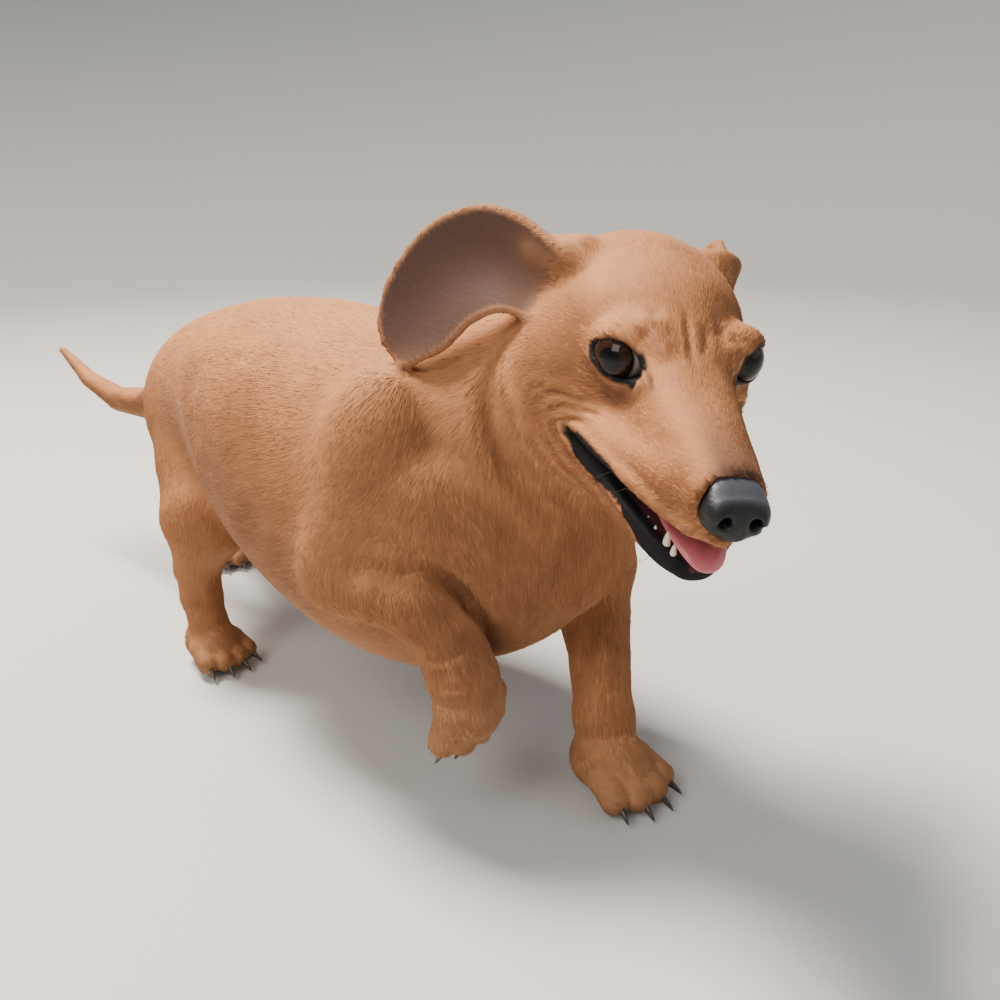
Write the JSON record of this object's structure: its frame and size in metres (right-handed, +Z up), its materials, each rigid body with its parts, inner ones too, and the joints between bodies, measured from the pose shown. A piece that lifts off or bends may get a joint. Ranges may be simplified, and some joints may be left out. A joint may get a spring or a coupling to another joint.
{
  "type": "dachshund model",
  "caption": "Life-size still model of a smooth-haired dachshund walking with one forepaw lifted, its head turned to its right, mouth a little open and ears flipped back.",
  "frame": {"origin": "on the floor below the middle of the whole model, tail included", "axes": "+X towards the nose along the spine, +Y to the dog's left, +Z up"},
  "size_m": [0.6596, 0.181, 0.279],
  "materials": {
    "coat": "short golden-tan fur lying flat, a soft sheen",
    "ear": "thin ear leather, fine darker red-brown fur",
    "nose_leather": "moist black pebbled nose leather",
    "tongue": "moist pink",
    "eye": "dark brown eye under a clear wet cornea"
  },
  "bodies": {
    "root": {"torso": "coat", "neck": "coat", "head": "coat", "muzzle": "coat", "lower_jaw": "coat", "tail": "coat", "right_foreleg": "coat", "left_foreleg": "coat", "right_hindleg": "coat", "left_hindleg": "coat", "right_forepaw": "coat", "left_forepaw": "coat", "right_hindpaw": "coat", "left_hindpaw": "coat", "ear_right": "ear", "ear_left": "ear", "nose": "nose_leather", "tongue": "tongue", "eye_right": "eye", "eye_left": "eye"}
  },
  "joints": []
}
